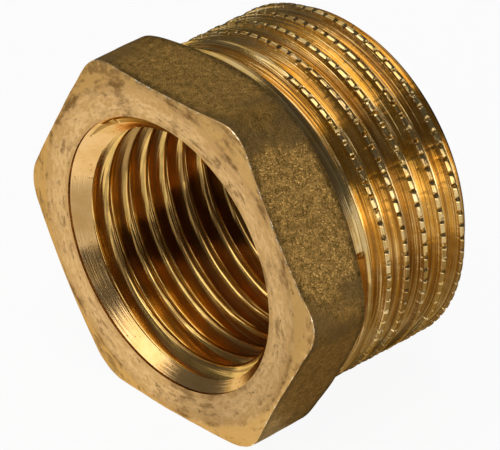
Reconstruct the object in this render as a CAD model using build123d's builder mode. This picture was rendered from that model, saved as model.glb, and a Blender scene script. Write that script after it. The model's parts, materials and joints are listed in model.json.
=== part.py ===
"""Hex reducing bush for threaded pipe: one brass forging, turned and threaded.

The bush lies on one of its spanner flats. Its axis runs along Y, with the hex head and the
female thread's mouth at -Y and the male thread at +Y. Z is up, and the origin is under the
middle of the bush's length, on the surface that it lies on.
"""
import os
from math import cos, radians, tan

from build123d import *

# Lengths along the axis, in millimetres
overall_length = 18.0
head_thickness = 6.25

# Hex head
across_flats = 26.8
corner_radius = 3.2  # forged corners, rounded along the axis
face_circle_inset = 0.35  # the turned face is flat to this far inside the spanner flats
face_cone_angle = 10.0  # degrees that the face falls back from there towards the corners
back_circle_inset = 0.07  # the head's back is flat to this far inside the spanner flats
back_cone_angle = 32.0  # degrees that the back falls away from there towards the corners

# Male pipe thread, 3/4 inch parallel, drawn at its major diameter
male_major_diameter = 26.441
male_lead_chamfer = 1.35

# Female pipe thread, 1/2 inch parallel, drawn at its minor diameter, right through the bush
female_minor_diameter = 18.631
mouth_chamfer = 1.35  # in the head's face
far_mouth_chamfer = 1.15  # in the threaded end
end_chamfer_share = 0.4  # the most that one chamfer takes of the wall at the threaded end

# Places that follow from the sizes
apothem = across_flats / 2
sharp_corner_radius = apothem / cos(radians(30))
face_circle_radius = apothem - face_circle_inset
face_cone_depth = (sharp_corner_radius - face_circle_radius) * tan(radians(face_cone_angle))
back_circle_radius = apothem - back_circle_inset
back_cone_depth = (sharp_corner_radius - back_circle_radius) * tan(radians(back_cone_angle))
shank_length = overall_length - head_thickness
male_radius = male_major_diameter / 2
bore_radius = female_minor_diameter / 2
widest_end_chamfer = end_chamfer_share * (male_radius - bore_radius)

front_y = -overall_length / 2
axis_height = max(apothem, male_radius)  # it lies on the wider of head and thread
front_centre = (0, front_y, axis_height)
head_back_centre = (0, front_y + head_thickness, axis_height)
head_plane = Plane(origin=front_centre, x_dir=(1, 0, 0), z_dir=(0, 1, 0))
shank_plane = Plane(origin=head_back_centre, x_dir=(1, 0, 0), z_dir=(0, 1, 0))
mouth_plane = Plane(origin=front_centre, x_dir=(1, 0, 0), z_dir=(0, -1, 0))
# local x is the depth behind the front face, local y the distance from the axis
turning_plane = Plane(origin=front_centre, x_dir=(0, 1, 0), z_dir=(1, 0, 0))
bush_axis = Axis(origin=front_centre, direction=(0, 1, 0))


with BuildPart() as hex_bushing:
    # The forged hexagon: two flats level, corners rounded along the axis
    with BuildSketch(head_plane) as head_outline:
        RegularPolygon(radius=apothem, side_count=6, major_radius=False)
        fillet(head_outline.vertices(), radius=corner_radius)
    extrude(amount=head_thickness)

    # Both ends of the head are turned: a flat ring inside, a cone that clips the corners outside
    with BuildSketch(turning_plane):
        with BuildLine():
            Polyline(
                (0, 0),
                (0, face_circle_radius),
                (face_cone_depth, sharp_corner_radius),
                (head_thickness - back_cone_depth, sharp_corner_radius),
                (head_thickness, back_circle_radius),
                (head_thickness, 0),
                close=True,
            )
        make_face()
    revolve(axis=bush_axis, mode=Mode.INTERSECT)

    # The male thread's blank, with a chamfer that starts the thread
    with BuildSketch(shank_plane):
        Circle(male_radius)
    extrude(amount=shank_length)
    outer_end_edge = hex_bushing.edges().filter_by(GeomType.CIRCLE).sort_by(Axis.Y)[-1]
    chamfer(outer_end_edge, length=min(male_lead_chamfer, widest_end_chamfer))

    # The bore goes right through, countersunk at both mouths
    with Locations(mouth_plane):
        CounterSinkHole(
            radius=bore_radius,
            counter_sink_radius=bore_radius + mouth_chamfer,
            counter_sink_angle=90,
        )
    end_edges = hex_bushing.edges().filter_by(GeomType.CIRCLE).group_by(Axis.Y)[-1]
    inner_end_edge = end_edges.sort_by(SortBy.RADIUS)[0]
    chamfer(inner_end_edge, length=min(far_mouth_chamfer, widest_end_chamfer))

hex_bushing.part.label = "hex_bushing"

os.makedirs("parts", exist_ok=True)
export_step(hex_bushing.part, "parts/hex_bushing.step")
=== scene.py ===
# %% [markdown]
# # A brass hex bushing
#
# A hex bushing lets a small pipe screw into a larger socket. It starts as a short brass forging with
# a hexagon at one end. A lathe faces both ends, bores it through, and cuts one thread outside and a
# smaller one inside. Several finishes end up side by side: the sandy skin of the forging on the
# spanner flats, a rubbed turned face, a satin countersink and two bright cut threads.
#
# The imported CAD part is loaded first. It fixes the frame and every overall size, and this file only
# adds what the eye needs: real threads, knurled crests, a forged skin and the metal itself.

import json
from math import ceil, cos, floor, pi, radians, sin, sqrt, tan

import bmesh
import bpy
import numpy as np
from mathutils import Matrix, Vector


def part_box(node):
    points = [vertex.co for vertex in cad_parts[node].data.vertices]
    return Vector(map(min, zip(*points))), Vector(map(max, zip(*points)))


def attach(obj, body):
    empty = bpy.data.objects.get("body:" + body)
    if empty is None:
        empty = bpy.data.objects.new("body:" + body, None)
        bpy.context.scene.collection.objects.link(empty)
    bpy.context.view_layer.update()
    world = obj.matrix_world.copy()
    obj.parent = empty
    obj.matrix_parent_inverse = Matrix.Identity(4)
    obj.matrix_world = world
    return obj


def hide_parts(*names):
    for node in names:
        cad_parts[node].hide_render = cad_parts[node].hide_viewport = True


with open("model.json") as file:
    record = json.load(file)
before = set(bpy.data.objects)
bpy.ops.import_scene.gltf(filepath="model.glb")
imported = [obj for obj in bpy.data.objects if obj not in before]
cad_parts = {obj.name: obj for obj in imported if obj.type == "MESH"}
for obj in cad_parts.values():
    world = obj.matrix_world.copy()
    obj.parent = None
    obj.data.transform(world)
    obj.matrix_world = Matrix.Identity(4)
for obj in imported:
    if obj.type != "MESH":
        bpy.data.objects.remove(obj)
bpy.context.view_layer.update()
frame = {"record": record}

# %% [markdown]
# ## Sizes
#
# Blender works in metres, so a size in millimetres is written as `3.2 * MM`. The bush lies on one
# spanner flat with its axis along Y. A point on it is easiest to think of as three numbers: its
# radius from the axis, its depth behind the front face, and its angle from the top, which grows
# towards +X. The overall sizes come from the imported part. The small ones repeat what was drawn there.

# %% Sizes of the bush
MM = 0.001
NODE = "hex_bushing"

low_corner, high_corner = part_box(NODE)
mounts = {mount["name"]: mount for mount in frame["record"]["mounts"]}

front_y = low_corner.y
bush_length = high_corner.y - low_corner.y
apothem = (high_corner.z - low_corner.z) / 2
axis_height = low_corner.z + apothem
middle_of_flat = mounts["top_spanner_flat"]["pos_m"][1]
head_thickness = 2 * (middle_of_flat - front_y)
male_major = mounts["male_thread"]["dims"]["r_mm"] * MM
bore_minor = mounts["female_thread"]["dims"]["r_mm"] * MM

corner_radius = 3.2 * MM
face_circle = apothem - 0.35 * MM
face_slope = tan(radians(10))
back_circle = apothem - 0.07 * MM
back_slope = tan(radians(32))
lead_chamfer = 1.35 * MM
mouth_chamfer = 1.35 * MM
far_mouth_chamfer = 1.15 * MM
mouth_lip = 0.19 * MM  # a short straight wall that the facing cut left round the mouth

print(f"head {head_thickness / MM:.2f} mm thick, {2 * apothem / MM:.1f} mm across flats")
print(f"male thread radius {male_major / MM:.3f} mm, bore radius {bore_minor / MM:.3f} mm")

# %% [markdown]
# ## The form of a pipe thread
#
# A parallel pipe thread has 14 turns to the inch. Its flanks stand 27.5 degrees off square to the
# axis, and its roots and crests are rounded. One function gives the height of the ridge above the
# bottom of its groove, and both threads use it: the male one adds the height to its root radius and
# the female one takes it away from its own.

# %% Thread form
inch = 25.4 * MM
turns_per_inch = 14
pitch = inch / turns_per_inch
flank_angle = radians(27.5)
thread_depth = 0.640327 * pitch
rounding = 0.137329 * pitch
arc_reach = rounding * cos(flank_angle)
arc_rise = rounding * (1 - sin(flank_angle))


def ridge_height(offset):
    """Height over the bottom of a groove, at an offset along the axis from the groove's middle."""
    from_root = np.abs(offset)
    from_crest = pitch / 2 - from_root
    root_arc = rounding - np.sqrt(np.maximum(rounding**2 - from_root**2, 0))
    crest_arc = thread_depth - rounding + np.sqrt(np.maximum(rounding**2 - from_crest**2, 0))
    flank = arc_rise + (from_root - arc_reach) / tan(flank_angle)
    rounded_crest = np.where(from_crest < arc_reach, crest_arc, flank)
    return np.where(from_root < arc_reach, root_arc, rounded_crest)


bore_major = bore_minor + thread_depth
print(f"pitch {pitch / MM:.4f} mm, depth {thread_depth / MM:.3f} mm")

# %% [markdown]
# ## Small unevenness
#
# Nothing on a forging is quite flat, and no cutter leaves a perfect edge. Two helpers make smooth
# random shapes from a few cosines. One closes on itself round the axis, and the other fills space.
# Each is seeded, so that the bush comes out the same every time.


# %% Helpers for unevenness
def ripple(angle, slowest, fastest, seed):
    """A wavy line, mostly from -1 to 1, that closes on itself round the axis."""
    waves = np.arange(slowest, fastest + 1)
    phases = np.random.default_rng(seed).uniform(0, 2 * pi, len(waves))
    crests = np.cos(np.multiply.outer(np.radians(angle), waves) + phases)
    return crests.sum(axis=-1) / sqrt(len(waves))


def lumps(places, wavelength, seed, waves=14):
    """Soft lumps in space, mostly from -1 to 1."""
    random = np.random.default_rng(seed)
    directions = random.normal(size=(3, waves))
    directions /= np.linalg.norm(directions, axis=0)
    phases = random.uniform(0, 2 * pi, waves)
    return np.cos(places @ directions * (2 * pi / wavelength) + phases).sum(axis=-1) / sqrt(waves)


def smooth_step(value, start, end):
    """Rises smoothly from 0 at start to 1 at end."""
    share = np.clip((value - start) / (end - start), 0, 1)
    return share * share * (3 - 2 * share)


# %% [markdown]
# ## The skin of the bush
#
# The whole bush is one closed mesh. Each surface is a grid of points, and the grids are sewn
# together ring to ring. A small class gathers points and triangles, and remembers which finish each
# triangle has. Rings with different numbers of points are joined by a zip: it walks round both and
# always steps on the ring that is behind.


# %% The class that gathers the skin
class Skin:
    """The points and triangles of the bush, and the finish of each triangle."""

    def __init__(self):
        self.points = []
        self.triangles = []
        self.finishes = []
        self.count = 0

    def add_points(self, radius, depth, angle):
        """Adds points by radius, depth behind the front face and angle, and returns their numbers."""
        radius, depth, angle = np.broadcast_arrays(radius, depth, angle)
        turned = np.radians(angle)
        x = radius * np.sin(turned)
        z = axis_height + radius * np.cos(turned)
        self.points.append(np.stack([x, front_y + depth, z], axis=-1).reshape(-1, 3))
        numbers = self.count + np.arange(radius.size).reshape(radius.shape)
        self.count += radius.size
        return numbers

    def add_triangles(self, triangles, finish):
        self.triangles.append(triangles)
        self.finishes.append(np.broadcast_to(finish, len(triangles)))

    def add_grid(self, here, beside, finish):
        """Fills between rows of points. beside holds the neighbour of each point round the axis."""
        corners = [here[:-1], beside[:-1], beside[1:], here[1:]]
        first = np.stack([corners[0], corners[1], corners[2]], axis=-1).reshape(-1, 3)
        second = np.stack([corners[0], corners[2], corners[3]], axis=-1).reshape(-1, 3)
        finish = np.broadcast_to(finish, corners[0].shape).ravel()
        self.add_triangles(first, finish)
        self.add_triangles(second, finish)

    def zip_rings(self, ring, ring_angles, other, other_angles, finish):
        """Joins two rings of points whose angles start at the same place."""
        first_angles = np.append(ring_angles, ring_angles[0] + 360)
        second_angles = np.append(other_angles, other_angles[0] + 360)
        triangles = []
        i = 0
        j = 0
        while i < len(ring) or j < len(other):
            here = ring[i % len(ring)]
            there = other[j % len(other)]
            if j == len(other) or (i < len(ring) and first_angles[i + 1] <= second_angles[j + 1]):
                i += 1
                triangles.append((here, ring[i % len(ring)], there))
            else:
                j += 1
                triangles.append((here, other[j % len(other)], there))
        self.add_triangles(np.array(triangles), finish)


skin = Skin()

# %% [markdown]
# ## Finishes by number
#
# A triangle carries the number of its finish, and the materials are put in this order later on.

# %% Names of the finishes
FORGED, FACE, MOUTH, THREAD, BORE, BACK, EDGE = range(7)

# %% [markdown]
# ## A grid that follows a thread
#
# A thread modelled on straight rings looks like a staircase. Here each row of points climbs with the
# thread, one pitch for every turn, so the last column of a row meets the first column of the row one
# turn further on. Rows that run past either end are laid flat on it, and the doubled points there
# are welded later.
#
# Where a chamfer cuts across the thread, the edge would come out ragged. So the row that is nearest
# to each crossing is moved onto it.


# %% The helical grid
sliver = 0.02 * MM  # rows closer than this to an end are laid on it
spare_turns = 2  # past both ends, so that the climbing rows reach everywhere


def rows_moved_to_edges(depth, angles, gap_at):
    """Moves the nearest row onto each place where gap_at changes sign, where one cut meets another."""
    gap = gap_at(depth, angles)
    change = gap[1:] - gap[:-1]
    crossing = gap[:-1] * gap[1:] < 0
    share = np.where(crossing, -gap[:-1] / np.where(crossing, change, 1), 0)
    place = depth[:-1] + share * (depth[1:] - depth[:-1])
    moved = depth.copy()
    lower_moves = crossing & (share < 0.5)
    upper_moves = crossing & (share >= 0.5)
    moved[:-1][lower_moves] = place[lower_moves]
    moved[1:][upper_moves] = place[upper_moves]
    return moved


def helical_grid(angles, stations, first_groove, start, end, gap_at):
    """Depths of a grid whose rows climb with the thread, and the numbers that find each neighbour."""
    first_turn = floor((start - first_groove) / pitch) - spare_turns
    last_turn = ceil((end - first_groove) / pitch) + spare_turns
    turn_starts = first_groove + pitch * np.arange(first_turn, last_turn)
    row_starts = (turn_starts[:, None] + np.array(stations)).ravel()
    depth = row_starts[:, None] + pitch * angles / 360
    depth = rows_moved_to_edges(depth, angles, gap_at)
    depth = np.where(depth < start + sliver, start, depth)
    return np.where(depth > end - sliver, end, depth)


def helical_neighbours(numbers, rows_per_turn):
    """The next point round the axis: after a whole turn it is in the row one pitch further on."""
    beside = np.roll(numbers, -1, axis=1)
    wrapped = np.minimum(np.arange(len(numbers)) + rows_per_turn, len(numbers) - 1)
    beside[:, -1] = numbers[wrapped, 0]
    return beside


# %% [markdown]
# ## The male thread
#
# The male thread is three quarter inch. Its first groove starts with a small jagged step in the
# plain land behind the head. Every crest from the first full turn on is knurled: a toothed wheel has
# pressed 79 nicks a turn across it, which hold sealing hemp. Each nick is a V that runs along the
# axis, and it has pushed up a low lip on the side of the crest that faces the head.
#
# The columns of the grid are spaced unevenly, so that some fall in the middle and at the edges of
# every nick.

# %% Male thread sizes
nicks_per_turn = 79
nick_step = 360 / nicks_per_turn
first_nick = -10.1  # degrees
first_male_groove = 7.967 * MM  # depth of the middle of the first full groove, at the top
groove_start = -0.786  # turns before that, where the cutter went in
groove_run_in = 0.010  # turns
knurl_start = 0.04  # turns, along the first knurled crest
nick_half_width = 0.18 * MM
nick_depth = 0.23 * MM
lip_height = 0.03 * MM
lip_place = -0.26 * MM  # along the axis from the middle of the crest
lip_width = 0.11 * MM
lip_reach = 0.30 * MM
shoulder_slope = 0.40  # of the lip, towards the head
shoulder_reach = 0.26 * MM
shoulder_drop = 6.0  # slope past its reach, where it ends
knurled_crests = 6

nick_columns = np.array([-0.32, -0.18, -0.09, 0.0, 0.09, 0.18, 0.32]) * MM
column_offsets = np.append(np.degrees(nick_columns / male_major), nick_step / 2)
thread_angles = (first_nick + nick_step * np.arange(nicks_per_turn)[:, None] + column_offsets).ravel()

crest_stations = pitch / 2 + np.array([-0.42, -0.32, -0.255, -0.14, -0.04, 0.05, 0.14, 0.221]) * MM
root_stations = np.array([-0.221, -0.11, 0.0, 0.11, 0.221]) * MM
male_stations = np.concatenate([root_stations, crest_stations])
print(len(thread_angles), "columns and", len(male_stations), "rows a turn")

# %% [markdown]
# The lead chamfer is a 45 degree cone at the threaded end. The thread's surface is whichever of the
# thread and the cone lies nearer to the axis.

# %% Male thread surface
smallest_nick = 0.75  # times the usual size
largest_nick = 1.2
nick_wander = 0.035 * MM
crest_unevenness = 0.008 * MM
crest_start = 0.8 * thread_depth  # height from which a crest is uneven

nick_random = np.random.default_rng(seed=7)
nick_sizes = nick_random.uniform(smallest_nick, largest_nick, (knurled_crests, nicks_per_turn))
nick_shifts = nick_random.normal(0, nick_wander, (knurled_crests, nicks_per_turn))


def lead_cone(depth):
    """Radius of the chamfer at the threaded end."""
    return male_major - lead_chamfer + (bush_length - depth)


def nicks(depth, angle):
    """Radius of the knurling's V nicks, and of the shoulder that it pushed up towards the head."""
    crest_turn = (depth - first_male_groove) / pitch - 0.5 - angle / 360
    crest = np.round(crest_turn)
    along = (crest_turn - crest) * pitch
    nick = np.round((angle - first_nick) / nick_step)
    row = np.clip(crest, 0, knurled_crests - 1).astype(int)
    column = nick.astype(int) % nicks_per_turn
    nick_angle = first_nick + nick * nick_step
    across = np.radians(angle - nick_angle) * male_major + nick_shifts[row, column]
    knurled = (crest + nick_angle / 360 >= knurl_start) & (crest < knurled_crests)
    size = np.where(knurled, nick_sizes[row, column], 0)
    bite = nick_depth * size * np.clip(1 - np.abs(across) / nick_half_width, 0, None)
    lip_shape = np.exp(-(((along - lip_place) / lip_width) ** 2) - (across / lip_reach) ** 2)
    before = np.maximum(-along, 0)
    past_reach = np.maximum(before - shoulder_reach, 0)
    shoulder = male_major - shoulder_slope * before - shoulder_drop * past_reach
    shoulder = np.where(knurled & (along < 0), shoulder, 0)
    return male_major - bite, shoulder + lip_height * size * lip_shape, bite > 0


def male_thread(depth, angle):
    """Radius of the thread as it was cut, with a little wander at its crests."""
    turn = (depth - first_male_groove) / pitch - angle / 360
    groove = np.round(turn)
    cut = smooth_step(groove + angle / 360, groove_start, groove_start + groove_run_in)
    height = ridge_height((turn - groove) * pitch)
    wander = crest_unevenness * ripple(angle, slowest=20, fastest=60, seed=3)
    wander = wander * smooth_step(height, crest_start, thread_depth)
    return male_major + cut * (height + wander - thread_depth)


def male_surface(depth, angle):
    """Radius of the finished outside, from the head's back to the threaded end."""
    nick_radius, shoulder, nicked = nicks(depth, angle)
    thread = np.maximum(male_thread(depth, angle), shoulder)
    thread = np.where(nicked, np.minimum(thread, nick_radius), thread)
    return np.minimum(thread, lead_cone(depth))


def male_gap(depth, angle):
    """How far the thread stands over the lead chamfer."""
    return male_thread(depth, angle) - lead_cone(depth)


male_ends = (head_thickness, bush_length)
male_depth = helical_grid(thread_angles, male_stations, first_male_groove, *male_ends, male_gap)
male_points = skin.add_points(male_surface(male_depth, thread_angles), male_depth, thread_angles)
skin.add_grid(male_points, helical_neighbours(male_points, len(male_stations)), THREAD)
print("male thread:", male_points.size, "points before welding")

# %% [markdown]
# ## The bore
#
# The half inch thread runs right through. The countersinks at both mouths take away more than the
# thread does, so here the surface is whichever lies further from the axis. Triangles on the front
# countersink get the satin finish.

# %% Bore surface
first_bore_crest = 1.42 * MM  # depth of the middle of a crest, at the top
first_bore_groove = first_bore_crest + pitch / 2
bore_columns = 252
bore_angles = thread_angles[0] + 360 / bore_columns * np.arange(bore_columns)
bore_crest_stations = pitch / 2 + np.array([-0.36, -0.221, -0.11, 0.0, 0.11, 0.221]) * MM
bore_stations = np.concatenate([root_stations, bore_crest_stations])
bore_unevenness = 0.006 * MM
mouth_unevenness = 0.016 * MM  # of the first crests, where the tool went in
mouth_unevenness_end = 2.2 * MM


def countersinks(depth):
    """Radius of whichever countersink is wider there."""
    mouth = bore_minor + mouth_chamfer * (mouth_chamfer - depth) / (mouth_chamfer - mouth_lip)
    far_mouth = bore_minor + far_mouth_chamfer - (bush_length - depth)
    return np.maximum(mouth, far_mouth)


def bore_cut(depth, angle):
    """Radius of the thread as it was cut, with a little wander at its crests."""
    turn = (depth - first_bore_groove) / pitch - angle / 360
    height = ridge_height((turn - np.round(turn)) * pitch)
    near_mouth = smooth_step(depth, mouth_unevenness_end, mouth_chamfer)
    wander = bore_unevenness * ripple(angle, slowest=6, fastest=30, seed=5)
    wander = wander + mouth_unevenness * near_mouth * ripple(angle, slowest=50, fastest=110, seed=6)
    return bore_major - height - wander * smooth_step(height, crest_start, thread_depth)


def bore_gap(depth, angle):
    """How far the thread lies outside the countersinks."""
    return bore_cut(depth, angle) - countersinks(depth)


bore_depth = helical_grid(bore_angles, bore_stations, first_bore_groove, mouth_lip, bush_length, bore_gap)
bore_radius = np.maximum(bore_cut(bore_depth, bore_angles), countersinks(bore_depth))
bore_points = skin.add_points(bore_radius, bore_depth, bore_angles)
mean_depth = (bore_depth[1:] + bore_depth[:-1]) / 2
on_cone = bore_gap(mean_depth, bore_angles) < 0
bore_finish = np.where(on_cone, np.where(mean_depth < bush_length / 2, MOUTH, BACK), BORE)
skin.add_grid(bore_points, helical_neighbours(bore_points, len(bore_stations)), bore_finish)
print("bore:", bore_points.size, "points before welding")

# %% [markdown]
# ## The hexagon
#
# The head is forged with rounded corners, then its front is turned flat out to a circle just inside
# the flats, and falls back in a shallow cone beyond it. Its back falls away in a steeper cone. Each
# column of points runs from the mouth across the face, over a small worn edge, along a spanner flat
# and down the back to the thread. Shallow lumps, always inwards, keep the flats from looking like
# glass.

# %% Hexagon
head_columns = 420
head_angles = thread_angles[0] + 360 / head_columns * np.arange(head_columns)
half_side = 30  # degrees from the middle of a flat to a corner
side_rows = 15
front_edge_bevel = 0.06 * MM
back_edge_bevel = 0.05 * MM
cone_edge = 0.06 * MM  # half the width over which the flat face bends into its cone
burr_height = 0.010 * MM
lump_depth = 0.07 * MM
wide_lump = 5 * MM
small_lump = 1.8 * MM


def hexagon_radius(angle):
    """Distance from the axis to the hexagon's side, before any unevenness."""
    from_flat = np.radians((angle + half_side) % (2 * half_side) - half_side)
    from_corner = radians(half_side) - np.abs(from_flat)
    corner_centre = (apothem - corner_radius) / cos(radians(half_side))
    chord = np.maximum(corner_radius**2 - (corner_centre * np.sin(from_corner)) ** 2, 0)
    rounded = corner_centre * np.cos(from_corner) + np.sqrt(chord)
    tangent = np.arctan((apothem - corner_radius) * tan(radians(half_side)) / apothem)
    return np.where(np.abs(from_flat) < tangent, apothem / np.cos(from_flat), rounded)


def face_depth(radius):
    """How far the turned face has fallen back at a radius."""
    return np.maximum(radius - face_circle, 0) * face_slope


def back_depth(radius):
    """Depth of the head's back at a radius."""
    return head_thickness - np.maximum(radius - back_circle, 0) * back_slope


def forged_radius(depth, angle):
    """The hexagon's side with its forged unevenness, which only goes inwards."""
    radius = hexagon_radius(angle)
    turned = np.radians(angle)
    places = np.stack([radius * np.sin(turned), depth + 0 * radius, radius * np.cos(turned)], axis=-1)
    uneven = 0.75 * lumps(places, wide_lump, seed=21) + 0.45 * lumps(places, small_lump, seed=22)
    return radius - lump_depth * np.clip(0.5 + 0.3 * uneven, 0, 1)


edge_radius = forged_radius(0, head_angles)
edge_burr = burr_height * ripple(head_angles, slowest=20, fastest=120, seed=31)
front_edge = face_depth(edge_radius)
back_edge = back_depth(edge_radius)

flat_rings = np.array([0.02, 0.10, 0.8, 1.6, 2.2]) * MM + bore_minor + mouth_chamfer
all_round = 0 * head_angles
rows = [(radius + all_round, all_round) for radius in flat_rings]
for ring_radius in (face_circle - cone_edge, face_circle + cone_edge):
    rows.append((ring_radius + all_round, face_depth(ring_radius) + all_round))
inner_edge = edge_radius - front_edge_bevel + edge_burr
half_way = (face_circle + inner_edge) / 2
rows.append((half_way, face_depth(half_way)))
rows.append((inner_edge, face_depth(inner_edge)))
face_rows = len(rows)
side_start = front_edge + front_edge_bevel + edge_burr
side_end = back_edge - back_edge_bevel
for share in np.linspace(0, 1, side_rows):
    side_depth = side_start + share * (side_end - side_start)
    rows.append((forged_radius(side_depth, head_angles), side_depth))
back_start = len(rows)
rows.append((edge_radius - back_edge_bevel, back_depth(edge_radius - back_edge_bevel)))
rows.append((back_circle + all_round, head_thickness + all_round))

head_radius = np.array([row[0] for row in rows])
head_depth = np.array([row[1] for row in rows])
head_points = skin.add_points(head_radius, head_depth, head_angles)
row_finish = np.full(len(rows) - 1, FORGED)
row_finish[: face_rows - 1] = FACE
row_finish[face_rows - 1] = EDGE
row_finish[back_start:] = BACK
skin.add_grid(head_points, np.roll(head_points, -1, axis=1), row_finish[:, None])
print("head:", head_points.size, "points")

# %% [markdown]
# ## Sewing it together
#
# Three zips close the skin: the face to the bore's mouth, the head's back to the thread, and the
# thread to the bore at the far end. Points that fall on each other are welded, and triangles that
# have shrunk to a line are dropped. A closed mesh has exactly two triangles on every edge, which is
# easy to count.

# %% Sew, weld and build the mesh
end_rows = 3
end_margin = 0.1 * MM
end_inner = bore_major + end_margin
end_outer = male_major - lead_chamfer - end_margin
end_radius = np.linspace(end_inner, end_outer, end_rows)[:, None]
end_points = skin.add_points(end_radius, bush_length, head_angles)
skin.add_grid(end_points, np.roll(end_points, -1, axis=1), BACK)

skin.zip_rings(bore_points[0], bore_angles, head_points[0], head_angles, MOUTH)
skin.zip_rings(head_points[-1], head_angles, male_points[0], thread_angles, BACK)
skin.zip_rings(bore_points[-1], bore_angles, end_points[0], head_angles, BACK)
skin.zip_rings(end_points[-1], head_angles, male_points[-1], thread_angles, BACK)

nanometres = 9
points, place_of = np.unique(np.concatenate(skin.points).round(nanometres), axis=0, return_inverse=True)
triangles = place_of.ravel()[np.concatenate(skin.triangles)]
finishes = np.concatenate(skin.finishes)
whole = (
    (triangles[:, 0] != triangles[:, 1])
    & (triangles[:, 1] != triangles[:, 2])
    & (triangles[:, 2] != triangles[:, 0])
)
triangles = triangles[whole]
finishes = finishes[whole]

bush_mesh = bpy.data.meshes.new("bush_skin")
bush_mesh.from_pydata(points, [], triangles)
bush_mesh.polygons.foreach_set("material_index", finishes.astype(np.int32))

work = bmesh.new()
work.from_mesh(bush_mesh)
loose_points = [point for point in work.verts if not point.link_faces]
bmesh.ops.delete(work, geom=loose_points, context="VERTS")
bmesh.ops.recalc_face_normals(work, faces=work.faces)
open_edges = sum(1 for edge in work.edges if len(edge.link_faces) != 2)
volume = work.calc_volume()
work.to_mesh(bush_mesh)
work.free()
print(f"{len(bush_mesh.polygons)} triangles, {open_edges} open edges, {volume / MM**3:.0f} cubic mm")

# %% [markdown]
# The mesh is shaded smooth, apart from edges sharper than a rounded crest ever gets. It rides on the
# one body and stands in for the plain CAD solid.

# %% The bush as an object
sharp_edge = radians(38)
bush_mesh.polygons.foreach_set("use_smooth", [True] * len(bush_mesh.polygons))
bush_mesh.set_sharp_from_angle(angle=sharp_edge)
bush = bpy.data.objects.new("threaded_bush", bush_mesh)
bpy.context.scene.collection.objects.link(bush)
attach(bush, "root")
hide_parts(NODE)

# %% [markdown]
# ## Writing a shader as sums
#
# A finish is a network of nodes. Long networks are hard to read, so a small class lets sums be
# written as Python. A Signal is one output socket, and adding or multiplying Signals adds Math nodes
# behind the scenes. Every other node comes from the one method `node`, which takes its type, its
# settings and its inputs.


# %% The Signal and Finish classes
class Signal:
    """One output socket of a finish, which can take part in Python sums."""

    def __init__(self, finish, socket):
        self.finish = finish
        self.socket = socket

    def math(self, operation, first, second=0.0):
        return self.finish.node("ShaderNodeMath", {"operation": operation}, {0: first, 1: second})

    def __add__(self, other):
        return self.math("ADD", self, other)

    def __sub__(self, other):
        return self.math("SUBTRACT", self, other)

    def __rsub__(self, other):
        return self.math("SUBTRACT", other, self)

    def __mul__(self, other):
        return self.math("MULTIPLY", self, other)

    def __pow__(self, other):
        return self.math("POWER", self, other)

    __radd__ = __add__
    __rmul__ = __mul__

    def clamped(self):
        return self.finish.node("ShaderNodeClamp", {}, {"Value": self})

    def beside(self, name):
        """Another output of the same node."""
        return Signal(self.finish, self.socket.node.outputs[name])

    def fade(self, start, end):
        """Rises smoothly from 0 at start to 1 at end."""
        settings = {"interpolation_type": "SMOOTHSTEP"}
        return self.finish.node("ShaderNodeMapRange", settings, {"Value": self, 1: start, 2: end})


class Finish:
    """A material and the nodes that make it."""

    def __init__(self, name):
        self.material = bpy.data.materials.new(name)
        self.material.use_nodes = True
        self.tree = self.material.node_tree
        self.tree.nodes.clear()

    def node(self, kind, settings, inputs, output=0):
        """Adds a node: first its settings, then its inputs, and returns one of its outputs."""
        made = self.tree.nodes.new(kind)
        for name, value in settings.items():
            setattr(made, name, value)
        for key, value in inputs.items():
            if isinstance(value, Signal):
                self.tree.links.new(value.socket, made.inputs[key])
            else:
                made.inputs[key].default_value = value
        return Signal(self, made.outputs[output])

    def colour_mix(self, share, first, second):
        """A colour between two others."""
        settings = {"data_type": "RGBA"}
        return self.node("ShaderNodeMix", settings, {0: share, 6: first, 7: second}, output=2)

    def bump(self, height, depth):
        """A bump whose height of 1 stands for depth metres."""
        return self.node("ShaderNodeBump", {}, {"Height": height, "Distance": depth, "Strength": 1.0})

    def metal(self, inputs):
        """Ends the finish in one metal shader, warm at its edges unless the inputs say otherwise."""
        inputs.setdefault("Specular Tint", EDGE_TINT)
        return self.finished(self.node("ShaderNodeBsdfPrincipled", {}, inputs))

    def finished(self, shader):
        """Ends the finish in a shader, and returns the material."""
        end = self.tree.nodes.new("ShaderNodeOutputMaterial")
        self.tree.links.new(shader.socket, end.inputs["Surface"])
        print(f"{self.material.name}: {len(self.tree.nodes)} nodes")
        return self.material


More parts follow.
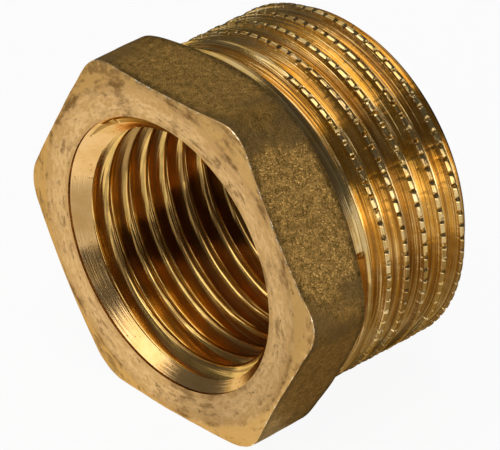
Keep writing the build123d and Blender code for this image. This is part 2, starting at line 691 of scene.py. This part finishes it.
class Turned(Finish):
    """A finish on a round part, with the places that a lathe's marks depend on."""

    def __init__(self, name):
        super().__init__(name)
        self.place = self.node("ShaderNodeTexCoord", {}, {}, output="Object")
        self.x = self.node("ShaderNodeSeparateXYZ", {}, {0: self.place})
        self.depth = self.x.beside("Y") - front_y
        self.z = self.x.beside("Z") - axis_height
        self.radius = (self.x * self.x + self.z * self.z) ** 0.5

    def noise(self, scale, detail, roughness):
        """Soft noise from 0 to 1. scale is in lumps a metre."""
        inputs = {"Vector": self.place, "Scale": scale, "Detail": detail, "Roughness": roughness}
        return self.node("ShaderNodeTexNoise", {}, inputs)

    def lines(self, across, spacing, drift, detail):
        """Lines that are fine across one way, and change drift times a metre along every other."""
        along = {0: self.x * drift, 1: self.depth * drift, 2: self.z * drift}
        place = self.node("ShaderNodeCombineXYZ", {}, along)
        inputs = {"Vector": place, "W": across * (1 / spacing), "Scale": 1.0, "Detail": detail}
        inputs["Roughness"] = 0.6
        return self.node("ShaderNodeTexNoise", {"noise_dimensions": "4D"}, inputs)

    def rings(self, spacing, drift, detail=2.0):
        """Fine lines at equal radius, as a facing cut leaves them."""
        return self.lines(self.radius, spacing, drift, detail)

    def thread_lines(self, spacing, drift, detail=2.0):
        """Fine lines that run with a thread on its flanks, and round the axis on plain metal."""
        return self.lines(self.radius + self.depth, spacing, drift, detail)

    def grains(self, scale):
        """Grains of sand: a random tone for each grain, and how near a point is to its middle."""
        inputs = {"Vector": self.place, "Scale": scale}
        colour = self.node("ShaderNodeTexVoronoi", {}, inputs, output="Color")
        tone = self.node("ShaderNodeSeparateColor", {}, {"Color": colour}, output="Red")
        return tone, 1 - colour.beside("Distance")


# %% [markdown]
# ## Colours of brass
#
# Clean brass is a warm yellow. Handling and heat turn it tan, and the skin of a forging is olive
# brown, because sand and oxide are pressed into it.

# %% Colours
SKIN_TINT = (0.90, 0.80, 0.62, 1)
EDGE_TINT = (0.80, 0.60, 0.30, 1)
BURR_BRASS = (0.96, 0.80, 0.52, 1)
BRIGHT_BRASS = (0.87, 0.63, 0.29, 1)
GOLD_BRASS = (0.82, 0.52, 0.145, 1)
HONEY_BRASS = (0.88, 0.55, 0.17, 1)
DEEP_BRASS = (0.68, 0.44, 0.13, 1)
TAN_BRASS = (0.66, 0.40, 0.155, 1)
PALE_BRASS = (0.93, 0.63, 0.30, 1)
ORANGE_BRASS = (0.74, 0.45, 0.15, 1)
SATIN_BRASS = (0.90, 0.56, 0.23, 1)
WARM_BRASS = (0.80, 0.47, 0.16, 1)
BROWN_BRASS = (0.36, 0.20, 0.07, 1)
OLIVE_SKIN = (0.18, 0.102, 0.022, 1)
GOLD_SKIN = (0.86, 0.50, 0.14, 1)
DARK_SKIN = (0.045, 0.028, 0.009, 1)
# The colour of the painted shade in the bore.
BAND_SHADE = (0.16, 0.085, 0.025, 1)
DUST = (0.21, 0.130, 0.048, 1)

# %% [markdown]
# ## The forged skin
#
# The die was sprayed with graphite and the blank was hot, so the flats have a fine sandy grain. It
# is too fine for geometry, so two sizes of grain, each a cell pattern with a random tone for every
# cell, drive the colour and a bump. Proud grains are rubbed gold and the hollows stay dark, and the
# brightest of the larger grains are painted glints. The grain is lost in a dark border along both
# edges of a flat, and on the corners, where dust lies. The flats at the upper right, which catch the
# right lamp, carry a painted highlight: they are painted paler and glint more.
#
# In the sums below, a plain number is a share of the noise it stands by, or the tones between which
# it fades. They were found by trying.


# %% Forged skin
grain_scale = 11000.0  # grains a metre
glint_scale = 7400.0
skin_relief = 0.045 * MM
border_wander = 1.2 * MM
corner_start = apothem + 0.65 * MM
corner_full = apothem + 1.25 * MM
border_start = 0.1 * MM
front_border_end = 0.9 * MM
back_border_end = 0.8 * MM
# Where the painted highlight on the flats at the upper right begins, and where it is full:
lit_side_from = (6.0 * MM, -3.0 * MM)  # to the side, and up from the axis
lit_side_full = (9.0 * MM, 1.0 * MM)


def forged_skin():
    finish = Turned("forged_skin")
    tone, dome = finish.grains(grain_scale)
    glint, glint_dome = finish.grains(glint_scale)
    coarse = finish.noise(scale=1900.0, detail=4.0, roughness=0.6)
    patches = finish.noise(scale=420.0, detail=4.0, roughness=0.6)

    ragged = border_wander * (patches - 0.5)
    corner = (finish.radius + ragged).fade(corner_start, corner_full)
    from_front = finish.depth - (finish.radius - face_circle) * face_slope + ragged
    from_back = head_thickness - finish.depth - (finish.radius - back_circle) * back_slope + ragged
    inside = from_front.fade(border_start, front_border_end) * from_back.fade(border_start, back_border_end)
    # Painted highlight: on the flats at the upper right, which catch the right lamp, the grain is painted
    # paler and the glints stronger.
    side = finish.x.fade(lit_side_from[0], lit_side_full[0]) * finish.z.fade(lit_side_from[1], lit_side_full[1])
    open_skin = inside * (1 - 0.8 * corner)

    sand_and_lit_side = tone * (0.34 + 0.50 * side) + (coarse.fade(0.36, 0.66) - 0.55) * (0.30 + 0.12 * side)
    # Painted glints: the brightest of the larger grains are painted gold, most of all on the flats at the
    # upper right.
    painted_glints = glint.fade(0.70, 0.95) * (0.25 + 0.75 * side) * open_skin
    rubbed_and_glints = ((sand_and_lit_side + 0.14) * (0.45 + 0.40 * open_skin) + 0.8 * painted_glints).clamped()
    dark_spots = (patches * 0.5 + coarse * 0.5).fade(0.52, 0.64)
    darkness = (dark_spots * 0.6 + 0.7 * (1 - inside)).clamped()
    dusty = corner * patches.fade(0.36, 0.60) * (0.15 + 0.7 * tone)

    # The gold share below mixes rubbed grain with the painted glints and the painted highlight.
    skin_colour = finish.colour_mix(darkness, OLIVE_SKIN, DARK_SKIN)
    rubbed_and_glint_colour = finish.colour_mix(rubbed_and_glints, skin_colour, GOLD_SKIN)
    height = dome * 0.6 + glint_dome * 0.5 + coarse * 1.2
    inputs = {
        "Base Color": finish.colour_mix(dusty, rubbed_and_glint_colour, DUST),
        "Metallic": 1 - 0.2 * dusty,
        "Specular Tint": SKIN_TINT,
        "Roughness": (0.50 - 0.24 * painted_glints + 0.10 * corner).clamped(),
        "Normal": finish.bump(height, skin_relief),
    }
    return finish.metal(inputs)


# %% [markdown]
# ## The turned face
#
# The front was faced on the lathe and then rubbed against other bushes in a box. The turning marks
# are rings, worn nearly smooth. The flat part is blotched cream and brown along the rings, a little
# paler in the middle of its width, with a dark ring where it meets the cone. The cone beyond it is a
# deeper tan.


# %% Turned face
face_relief = 0.022 * MM
pale_ring = (10.7 * MM, 11.3 * MM, 11.9 * MM, 12.9 * MM)  # begins, is full, begins to end, has ended
cone_blend = 0.3 * MM


def turned_face():
    finish = Turned("turned_face")
    fine = finish.rings(0.12 * MM, drift=300.0)
    strokes = finish.rings(1.6 * MM, drift=300.0, detail=5.0)
    streaks = finish.rings(0.30 * MM, drift=900.0, detail=4.0)
    mottle = finish.rings(0.55 * MM, drift=620.0, detail=6.0)
    grit = finish.rings(0.28 * MM, drift=2000.0, detail=5.0)
    blotches = finish.noise(scale=420.0, detail=5.0, roughness=0.62)
    specks = finish.noise(scale=3400.0, detail=2.0, roughness=0.5)
    pits = finish.noise(scale=900.0, detail=2.0, roughness=0.5)

    begins, is_full, ends, has_ended = pale_ring
    middle = finish.radius.fade(begins, is_full) * (1 - finish.radius.fade(ends, has_ended))
    cone_start = finish.radius.fade(face_circle - cone_blend, face_circle)
    on_cone = finish.radius.fade(face_circle, face_circle + cone_blend)

    pale = strokes * 0.15 + blotches * 0.2 + mottle * 0.3 + grit * 0.35 + 0.05 * middle
    brown = (streaks * 0.15 + blotches * 0.35 + mottle * 0.3 + grit * 0.2).fade(0.49, 0.58)
    dark_ring = cone_start * (1 - on_cone) * blotches.fade(0.40, 0.58)
    pitted = (specks.fade(0.64, 0.72) * streaks.fade(0.50, 0.62) + pits.fade(0.70, 0.76)).clamped()
    colour = finish.colour_mix(pale.fade(0.46, 0.58) * 0.85, TAN_BRASS, PALE_BRASS)
    colour = finish.colour_mix(on_cone * 0.7, colour, ORANGE_BRASS)
    colour = finish.colour_mix((brown * 0.75 + dark_ring * 0.6).clamped(), colour, BROWN_BRASS)
    height = fine * 0.35 + streaks * 0.3 + blotches * 0.6 + grit * 0.5 - pitted * 0.8
    inputs = {
        "Base Color": finish.colour_mix(pitted * 0.6, colour, DARK_SKIN),
        "Metallic": 1.0,
        "Roughness": (0.40 + 0.16 * blotches + 0.18 * brown).clamped(),
        "Normal": finish.bump(height, face_relief),
    }
    return finish.metal(inputs)


# %% [markdown]
# ## The satin mouth
#
# The countersink was cut last, so it is cleaner than the face. Its marks are fine rings, and it is
# smooth enough to show soft pictures of the lamps and of the dark gaps between them.


# %% Satin mouth
mouth_relief = 0.009 * MM


def satin_mouth():
    finish = Turned("satin_mouth")
    fine = finish.rings(0.09 * MM, drift=160.0)
    soft = finish.noise(scale=520.0, detail=4.0, roughness=0.6)
    specks = finish.noise(scale=3000.0, detail=2.0, roughness=0.5).fade(0.66, 0.74)
    colour = finish.colour_mix(soft.fade(0.38, 0.68), SATIN_BRASS, WARM_BRASS)
    inputs = {
        "Base Color": finish.colour_mix(specks * 0.6, colour, BROWN_BRASS),
        "Metallic": 1.0,
        "Roughness": (0.09 + 0.14 * soft).clamped(),
        "Normal": finish.bump(fine + 0.7 * soft - 0.5 * specks, mouth_relief),
    }
    return finish.metal(inputs)


# %% [markdown]
# ## The cut threads
#
# A threading tool leaves bright flanks with fine lines that run with the thread. On a flank the
# radius changes evenly from root to crest, so noise that depends on the radius draws exactly those
# lines, and they never cross the thread. Some of the lines are darker brown.
#
# The bore also has a painted band of shade low on one wall, which stands for the dark reflection
# that wall shows. The band is thin near the mouth and wider further in, with a ragged edge.


# %% Cut threads
line_drift = 60.0  # changes a metre along a line
broad_line = 2.2  # times the spacing of the fine lines
band_height = 4.6 * MM  # below the axis
band_wander = 5.0 * MM
band_spread = 0.15  # how fast it widens with depth
band_edge = (0.1 * MM, 1.5 * MM)
band_near_mouth = (1.2 * MM, 3.2 * MM)  # depths over which it begins
band_side = (-5.0 * MM, -1.0 * MM)  # across the bush, where it ends
band_strength = 0.75


def painted_shade_band(finish):
    """How dark the bore's painted band of shade is at a place."""
    patches = finish.noise(scale=210.0, detail=3.0, roughness=0.5)
    from_middle = finish.z + band_height + band_wander * (patches - 0.5)
    distance = (from_middle * from_middle) ** 0.5
    beyond = (distance - finish.depth * band_spread).fade(*band_edge)
    return (1 - beyond) * finish.depth.fade(*band_near_mouth) * (1 - finish.x.fade(*band_side))


def cut_thread(name, clean, dull, roughness, spacing, relief, banded):
    """The finish of a cut thread. spacing is from one fine line to the next."""
    finish = Turned(name)
    fine = finish.thread_lines(spacing, line_drift)
    broad = finish.thread_lines(broad_line * spacing, line_drift)
    tint = finish.noise(scale=600.0, detail=4.0, roughness=0.6)
    scratches = finish.noise(scale=2600.0, detail=2.0, roughness=0.5)
    # Some of the turning lines are darker brown.
    dark_lines = (fine * 0.4 + broad * 0.5 + tint * 0.1).fade(0.48, 0.55)
    colour = finish.colour_mix(tint.fade(0.35, 0.7), clean, dull)
    colour = finish.colour_mix(dark_lines * 0.75, colour, BROWN_BRASS)
    # Painted shade: a dark band low on the bore's wall, which stands for the dark reflection seen there.
    if banded:
        colour = finish.colour_mix(painted_shade_band(finish) * band_strength, colour, BAND_SHADE)
    inputs = {
        "Base Color": colour,
        "Metallic": 1.0,
        "Roughness": (roughness + 0.10 * dark_lines + 0.05 * tint).clamped(),
        "Normal": finish.bump(fine * 0.5 + broad * 0.9 + scratches * 0.12, relief),
    }
    return finish.metal(inputs)


def male_thread_finish():
    relief = 0.055 * MM
    return cut_thread("cut_thread", BRIGHT_BRASS, GOLD_BRASS, 0.12, 0.15 * MM, relief, banded=False)


def bore_thread_finish():
    relief = 0.035 * MM
    return cut_thread("bore_thread", HONEY_BRASS, DEEP_BRASS, 0.13, 0.10 * MM, relief, banded=True)


# %% [markdown]
# ## The turned back
#
# The cone behind the head and the threaded end were turned in one cut and never rubbed, so they are
# plainer, with brown along some of the lines.


# %% Turned back
back_relief = 0.020 * MM


def turned_back():
    finish = Turned("turned_back")
    fine = finish.thread_lines(0.20 * MM, drift=70.0)
    soft = finish.noise(scale=380.0, detail=4.0, roughness=0.6)
    colour = finish.colour_mix(soft.fade(0.35, 0.7), SATIN_BRASS, TAN_BRASS)
    inputs = {
        "Base Color": finish.colour_mix(fine.fade(0.50, 0.58) * 0.7, colour, BROWN_BRASS),
        "Metallic": 1.0,
        "Roughness": (0.12 + 0.10 * soft).clamped(),
        "Normal": finish.bump(fine, back_relief),
    }
    return finish.metal(inputs)


# %% [markdown]
# ## The worn edge
#
# Where the face meets the flats, knocks have rubbed the corner bright in places, with tiny burrs
# that sparkle. Between them it is plain tan.


# %% Worn edge
edge_relief = 0.03 * MM


def worn_edge():
    finish = Turned("worn_edge")
    knocks = finish.noise(scale=1500.0, detail=4.0, roughness=0.65)
    grain = finish.noise(scale=4200.0, detail=2.0, roughness=0.5)
    bright = (knocks * 0.7 + grain * 0.3).fade(0.49, 0.60)
    inputs = {
        "Base Color": finish.colour_mix(bright, TAN_BRASS, BURR_BRASS),
        "Metallic": 1.0,
        "Roughness": (0.42 - 0.2 * bright).clamped(),
        "Normal": finish.bump(knocks + grain, edge_relief),
    }
    return finish.metal(inputs)


# %% Put the finishes on the bush
numbered_finishes = {
    FORGED: forged_skin,
    FACE: turned_face,
    MOUTH: satin_mouth,
    THREAD: male_thread_finish,
    BORE: bore_thread_finish,
    BACK: turned_back,
    EDGE: worn_edge,
}
for number in sorted(numbered_finishes):
    bush_mesh.materials.append(numbered_finishes[number]())
print(len(bush_mesh.materials), "finishes on the bush")

# %% [markdown]
# ## The studio
#
# Metal shows its surroundings, so the studio matters as much as the finish. The floor is a plain
# white disc whose rim turns up, and five soft boxes stand round it. Between them the room is dim,
# which gives the threads their dark stripes.
#
# The floor looks plain white to the camera, and to rays that have bounced off metal or gone through
# glass. A small share of it is still ordinary paper, which takes the bush's shadow.

# %% Floor
floor_rings = [(0.3, 0.0), (0.6, 0.0), (0.85, 0.0), (0.95, 0.01), (1.02, 0.04), (1.06, 0.1), (1.07, 0.2)]
floor_sides = 96
plain_share = 0.93
paper_colour = (0.9, 0.9, 0.9, 1)
WHITE = (1, 1, 1, 1)

floor_turns = 2 * pi * np.arange(floor_sides) / floor_sides
floor_points = [(0, 0, 0)]
for radius, height in floor_rings:
    floor_points += [(radius * cos(turn), radius * sin(turn), height) for turn in floor_turns]
floor_faces = [(0, 1 + k, 1 + (k + 1) % floor_sides) for k in range(floor_sides)]
for ring in range(len(floor_rings) - 1):
    inner = 1 + ring * floor_sides
    outer = inner + floor_sides
    for k in range(floor_sides):
        after = (k + 1) % floor_sides
        floor_faces.append((inner + k, outer + k, outer + after, inner + after))
floor_mesh = bpy.data.meshes.new("studio_floor")
floor_mesh.from_pydata(floor_points, [], floor_faces)
floor_mesh.polygons.foreach_set("use_smooth", [True] * len(floor_mesh.polygons))
floor_object = bpy.data.objects.new("studio_floor", floor_mesh)
bpy.context.scene.collection.objects.link(floor_object)

paper = Finish("white_paper")
camera_rays = paper.node("ShaderNodeLightPath", {}, {}, output="Is Camera Ray")
seeing_rays = camera_rays + camera_rays.beside("Is Glossy Ray") + camera_rays.beside("Is Transmission Ray")
shares = {
    0: (seeing_rays * plain_share).clamped(),
    1: paper.node("ShaderNodeBsdfDiffuse", {}, {"Color": paper_colour}),
    2: paper.node("ShaderNodeEmission", {}, {"Color": WHITE, "Strength": 1.0}),
}
floor_mesh.materials.append(paper.finished(paper.node("ShaderNodeMixShader", {}, shares)))
print("floor:", len(floor_faces), "faces")

# %% [markdown]
# ## Soft boxes
#
# A soft box is a lamp with a wide, even front, whose picture in the metal has no hard rim. The ones
# above, in front and on the right are strong, and the two on the left are weak, so that the bush has
# a bright side and a dark one.

# %% Soft boxes
object_centre = Vector((0, 0, axis_height))
lamp_distance = 0.6


def soft_box(name, azimuth, elevation, width, height, radiance):
    """A rectangular lamp that faces the bush, placed and sized by the angles that it covers.

    An azimuth of 0 is +Y and 90 is +X. radiance is how bright its front looks, where 1 is white paper.
    """
    across = radians(azimuth)
    above = radians(elevation)
    outward = Vector((sin(across) * cos(above), cos(across) * cos(above), sin(above)))
    data = bpy.data.lights.new(name, "AREA")
    data.shape = "RECTANGLE"
    data.size = 2 * lamp_distance * tan(radians(width / 2))
    data.size_y = 2 * lamp_distance * tan(radians(height / 2))
    data.energy = radiance * pi * data.size * data.size_y
    lamp = bpy.data.objects.new(name, data)
    bpy.context.scene.collection.objects.link(lamp)
    lamp.location = object_centre + lamp_distance * outward
    lamp.rotation_euler = outward.to_track_quat("Z", "Y").to_euler()
    lamp.visible_camera = False
    print(f"{name}: {data.size:.2f} by {data.size_y:.2f} m")


soft_box("overhead_box", azimuth=180, elevation=80, width=52, height=36, radiance=1.9)
soft_box("left_box", azimuth=-93, elevation=48, width=34, height=36, radiance=0.40)
soft_box("rear_left_box", azimuth=-50, elevation=36, width=26, height=46, radiance=0.6)
soft_box("right_box", azimuth=99, elevation=11, width=44, height=24, radiance=1.30)
soft_box("front_box", azimuth=180, elevation=38, width=72, height=24, radiance=1.7)

# %% [markdown]
# ## Cards
#
# A photographer sets black cards round bright metal, so that its edges show, and lays pale ones
# where it needs a glow. Here a card is seen by reflections only, because a real one would also
# shade the floor. Two that lie beside and under the bush have the warm colour of the light that
# brass throws on paper.


# %% Cards
WARM_LIGHT = (1.0, 0.83, 0.55, 1)
card_columns = 13


def card(name, azimuth, width, low, high, glow, colour=WHITE):
    """A curved card round the bush. low and high are each an elevation in degrees and a distance."""
    turns = radians(azimuth) + radians(width) * np.linspace(-0.5, 0.5, card_columns)
    points = []
    for elevation, distance in (low, high):
        height = axis_height + distance * tan(radians(elevation))
        points += [(distance * sin(turn), distance * cos(turn), height) for turn in turns]
    faces = [(k, k + 1, card_columns + k + 1, card_columns + k) for k in range(card_columns - 1)]
    mesh = bpy.data.meshes.new(name)
    mesh.from_pydata(points, [], faces)
    surface = Finish(name)
    glowing = surface.node("ShaderNodeEmission", {}, {"Color": colour, "Strength": glow})
    mesh.materials.append(surface.finished(glowing))
    made = bpy.data.objects.new(name, mesh)
    bpy.context.scene.collection.objects.link(made)
    made.visible_camera = False
    made.visible_diffuse = False
    made.visible_transmission = False
    made.visible_shadow = False


# %% Cards that stand
card("front_right_card", azimuth=142, width=44, low=(-7, 0.10), high=(20, 0.18), glow=0.06)
card("front_left_card", azimuth=-128, width=42, low=(-6, 0.11), high=(28, 0.18), glow=0.11)
card("right_glow_card", azimuth=92, width=60, low=(-19, 0.037), high=(-2, 0.15), glow=0.70)
card("rear_right_card", azimuth=48, width=30, low=(-19, 0.037), high=(14, 0.18), glow=0.62)
card("rear_card", azimuth=-22, width=104, low=(-7, 0.10), high=(10, 0.18), glow=0.04)

# %% Cards that lie near the floor
rear_floor = {"low": (-49, 0.0115), "high": (-7, 0.10), "glow": 0.04}
# Painted shadow: the two warm cards under and beside the bush are dim, so that the metal shows the floor
# there darker, as it is in the bush's own shadow.
under = {"low": (-76, 0.0033), "high": (-54, 0.0094), "glow": 0.13, "colour": WARM_LIGHT}
right_floor = {"low": (-54, 0.0095), "high": (-20, 0.0355), "glow": 0.30, "colour": WARM_LIGHT}
front_floor = {"low": (-53, 0.0100), "high": (-9, 0.08), "glow": 0.55}
front_left_floor = {"low": (-50, 0.0112), "high": (-9, 0.08), "glow": 0.95}
card("rear_floor_card", azimuth=-25, width=96, **rear_floor)
card("under_shadow_card", azimuth=30, width=184, **under)
card("right_floor_shadow_card", azimuth=72, width=100, **right_floor)
card("front_floor_card", azimuth=173, width=28, **front_floor)
card("front_left_floor_card", azimuth=-133, width=58, **front_left_floor)

# %% World
room_glow = 0.08
world = bpy.data.worlds.new("studio_room")
world.use_nodes = True
bpy.context.scene.world = world
room = world.node_tree.nodes["Background"]
room.inputs["Color"].default_value = WHITE
room.inputs["Strength"].default_value = room_glow
print("room glow:", room_glow)

# %% [markdown]
# ## The camera
#
# A long lens from in front, right and above keeps the hexagon's edges nearly parallel. The camera
# leans over by two degrees.

# %% Camera
camera_data = bpy.data.cameras.new("camera")
camera_data.lens = 448.7
camera_data.sensor_width = 36
camera_data.clip_start = 0.01
camera_data.clip_end = 10
camera = bpy.data.objects.new("camera", camera_data)
bpy.context.scene.collection.objects.link(camera)
bpy.context.scene.camera = camera

camera_place = Vector((286.35, -254.34, 246.43)) * MM
forward = Vector((-0.6389, 0.5652, -0.5219)).normalized()
to_the_right = Vector((0.6765, 0.7358, -0.0313))
upward = to_the_right.cross(forward).normalized()
to_the_right = forward.cross(upward)
turning = Matrix((to_the_right, upward, -forward)).transposed()
camera.matrix_world = Matrix.Translation(camera_place) @ turning.to_4x4()
print("camera distance:", round((camera_place - object_centre).length, 4), "m")

# %% Picture settings
bpy.context.scene.view_settings.view_transform = "Standard"
